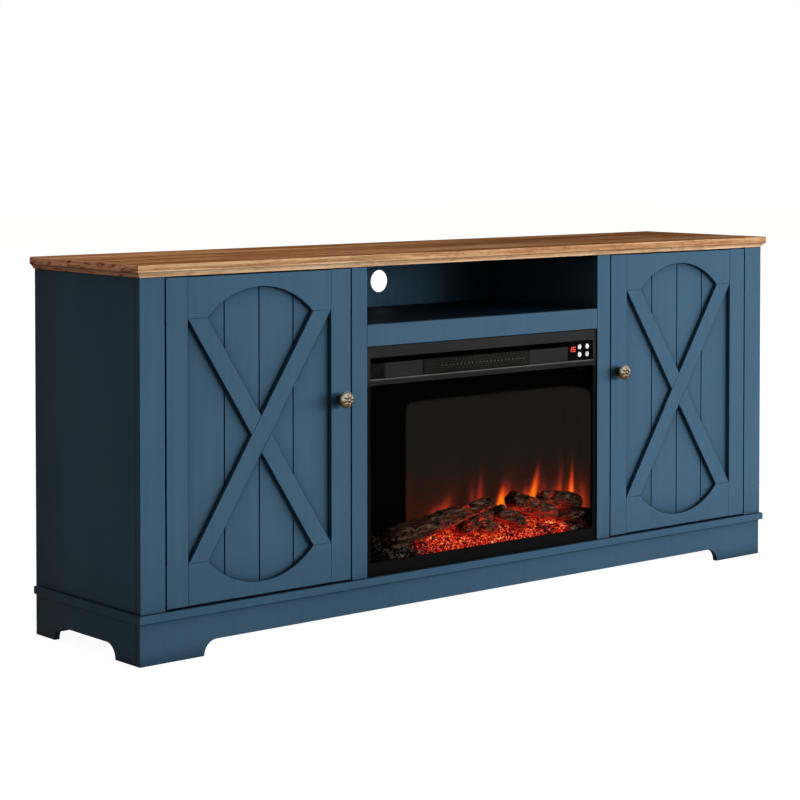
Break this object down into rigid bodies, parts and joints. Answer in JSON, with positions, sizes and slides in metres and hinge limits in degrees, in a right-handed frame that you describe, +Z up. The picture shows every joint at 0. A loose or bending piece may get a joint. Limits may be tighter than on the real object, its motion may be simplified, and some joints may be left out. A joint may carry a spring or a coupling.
{
  "type": "fireplace tv stand",
  "caption": "Wide painted media cabinet with a wood top, arched X-brace barn doors, an open shelf bay and a glazed electric fireplace insert.",
  "frame": {"origin": "floor level, at the middle of the width and of the overall depth with the door knobs", "axes": "+Z up, +X to the viewer's right when facing the doors, +Y from the front to the back"},
  "size_m": [1.778, 0.4054, 0.756],
  "materials": {
    "blue_paint": "satin",
    "inner_paint": "matte",
    "top_wood": "satin",
    "bronze": "polished",
    "hinge_steel": "satin",
    "black_metal": "satin",
    "front_glass": "polished",
    "black_plastic": "polished",
    "white_plastic": "satin",
    "log_resin": "matte",
    "ember_resin": "matte",
    "screen_plastic": "satin",
    "bright_aluminium": "polished"
  },
  "bodies": {
    "cabinet": {"top_board": "top_wood", "base_board": "blue_paint", "left_side_panel": "blue_paint", "right_side_panel": "blue_paint", "left_divider": "inner_paint", "right_divider": "inner_paint", "left_outer_stile": "blue_paint", "left_inner_stile": "blue_paint", "right_inner_stile": "blue_paint", "right_outer_stile": "blue_paint", "left_back_panel": "inner_paint", "centre_back_panel": "inner_paint", "right_back_panel": "inner_paint", "left_cabinet_shelf": "inner_paint", "right_cabinet_shelf": "inner_paint", "centre_shelf": "inner_paint", "shelf_front_rail": "blue_paint", "front_apron": "blue_paint", "rear_apron": "blue_paint", "left_apron": "blue_paint", "right_apron": "blue_paint", "left_lower_hinge_arm": "hinge_steel", "left_upper_hinge_arm": "hinge_steel", "right_lower_hinge_arm": "hinge_steel", "right_upper_hinge_arm": "hinge_steel", "firebox_housing": "black_metal", "front_trim_frame": "black_metal", "front_glass": "front_glass", "outlet_panel": "black_metal", "control_panel": "black_plastic", "log_set": "log_resin", "ember_bed": "ember_resin", "flame_screen": "screen_plastic", "cord_gland": "black_plastic"},
    "left_door": {"left_door_hinge_stile": "blue_paint", "left_door_latch_stile": "blue_paint", "left_door_planks": "blue_paint", "left_door_top_rail": "blue_paint", "left_door_bottom_rail": "blue_paint", "left_door_rising_brace": "blue_paint", "left_door_falling_brace": "blue_paint", "left_knob": "bronze", "left_lower_hinge_cup": "hinge_steel", "left_upper_hinge_cup": "hinge_steel"},
    "right_door": {"right_door_hinge_stile": "blue_paint", "right_door_latch_stile": "blue_paint", "right_door_planks": "blue_paint", "right_door_top_rail": "blue_paint", "right_door_bottom_rail": "blue_paint", "right_door_rising_brace": "blue_paint", "right_door_falling_brace": "blue_paint", "right_knob": "bronze", "right_lower_hinge_cup": "hinge_steel", "right_upper_hinge_cup": "hinge_steel"},
    "button_upper_left": {"upper_left_button": "white_plastic"},
    "button_upper_right": {"upper_right_button": "white_plastic"},
    "button_lower_left": {"lower_left_button": "white_plastic"},
    "button_lower_right": {"lower_right_button": "white_plastic"},
    "spindle": {"flicker_spindle": "bright_aluminium"},
    "blower": {"blower_wheel": "bright_aluminium"}
  },
  "joints": [
    {"name": "left_door_hinge", "type": "hinge", "parent": "cabinet", "child": "left_door", "pos_m": [-0.822, -0.17475, 0.41575], "axis": [0, 0, -1], "range_deg": [0, 105]},
    {"name": "right_door_hinge", "type": "hinge", "parent": "cabinet", "child": "right_door", "pos_m": [0.822, -0.17475, 0.41575], "axis": [0, 0, 1], "range_deg": [0, 105]},
    {"name": "upper_left_button_press", "type": "slide", "parent": "cabinet", "child": "button_upper_left", "axis": [0, 1, 0], "range_m": [0, 0.0012], "stiffness_N_per_m": 300, "springref_m": -0.003},
    {"name": "upper_right_button_press", "type": "slide", "parent": "cabinet", "child": "button_upper_right", "axis": [0, 1, 0], "range_m": [0, 0.0012], "stiffness_N_per_m": 300, "springref_m": -0.003},
    {"name": "lower_left_button_press", "type": "slide", "parent": "cabinet", "child": "button_lower_left", "axis": [0, 1, 0], "range_m": [0, 0.0012], "stiffness_N_per_m": 300, "springref_m": -0.003},
    {"name": "lower_right_button_press", "type": "slide", "parent": "cabinet", "child": "button_lower_right", "axis": [0, 1, 0], "range_m": [0, 0.0012], "stiffness_N_per_m": 300, "springref_m": -0.003},
    {"name": "flicker_spindle_spin", "type": "hinge", "parent": "cabinet", "child": "spindle", "pos_m": [0, -0.05245, 0.1923], "axis": [1, 0, 0], "continuous": true},
    {"name": "blower_spin", "type": "hinge", "parent": "cabinet", "child": "blower", "pos_m": [0, -0.10345, 0.52935], "axis": [1, 0, 0], "continuous": true}
  ]
}
